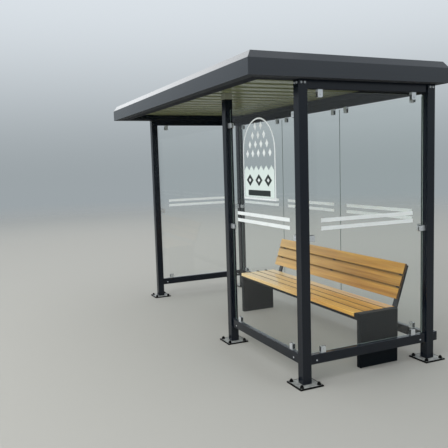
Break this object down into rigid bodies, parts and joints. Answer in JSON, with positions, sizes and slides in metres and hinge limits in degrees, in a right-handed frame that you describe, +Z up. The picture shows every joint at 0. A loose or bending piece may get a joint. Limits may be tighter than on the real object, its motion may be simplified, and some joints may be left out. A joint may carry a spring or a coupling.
{
  "type": "bus shelter",
  "caption": "Open-fronted bus shelter: dark steel posts, clamped glass walls, flat ribbed roof behind a bevelled fascia, and a slatted wooden bench.",
  "frame": {"origin": "on the ground under the middle of the roof", "axes": "+Z up, +Y from the open front to the glass back wall, +X along the length to the end with the front glass"},
  "size_m": [3.934, 1.908, 2.59],
  "materials": {
    "frame_coat": "satin powder coat",
    "plate_coat": "satin powder coat",
    "roof_coat": "glossy coil coat",
    "glass": "clear toughened",
    "clamp_metal": "satin",
    "bench_coat": "satin powder coat",
    "bench_wood": "oiled"
  },
  "bodies": {
    "root": {"post_front_far": "frame_coat", "post_front_middle": "frame_coat", "post_front_near": "frame_coat", "post_back_near": "frame_coat", "post_back_far": "frame_coat", "bottom_rail_front": "frame_coat", "bottom_rail_back": "frame_coat", "bottom_rail_near_end": "frame_coat", "bottom_rail_far_end": "frame_coat", "rail_stub_near": "frame_coat", "rail_stub_far": "frame_coat", "beam_back": "frame_coat", "beam_near_end": "frame_coat", "beam_far_end": "frame_coat", "roof_frame_front": "frame_coat", "roof_frame_back": "frame_coat", "roof_frame_near_end": "frame_coat", "roof_frame_far_end": "frame_coat", "fascia_front": "frame_coat", "fascia_back": "frame_coat", "fascia_near_end": "frame_coat", "fascia_far_end": "frame_coat", "base_plate_front_far": "plate_coat", "base_plate_front_middle": "plate_coat", "base_plate_front_near": "plate_coat", "base_plate_back_near": "plate_coat", "base_plate_back_far": "plate_coat", "roof_deck": "roof_coat", "post_head_front_middle": "roof_coat", "glass_front": "glass", "glass_near_end": "glass", "glass_far_end": "glass", "glass_back_far": "glass", "glass_back_middle": "glass", "glass_back_near": "glass", "clamps_front": "clamp_metal", "clamps_near_end": "clamp_metal", "clamps_far_end": "clamp_metal", "clamps_back": "clamp_metal", "bench_leg_near": "bench_coat", "bench_leg_far": "bench_coat", "bench_seat_rails": "bench_coat", "bench_cross_bars": "bench_coat", "bench_end_bar": "bench_coat", "bench_back_supports": "bench_coat", "bench_seat_slats": "bench_wood", "bench_back_boards": "bench_wood"}
  },
  "joints": []
}
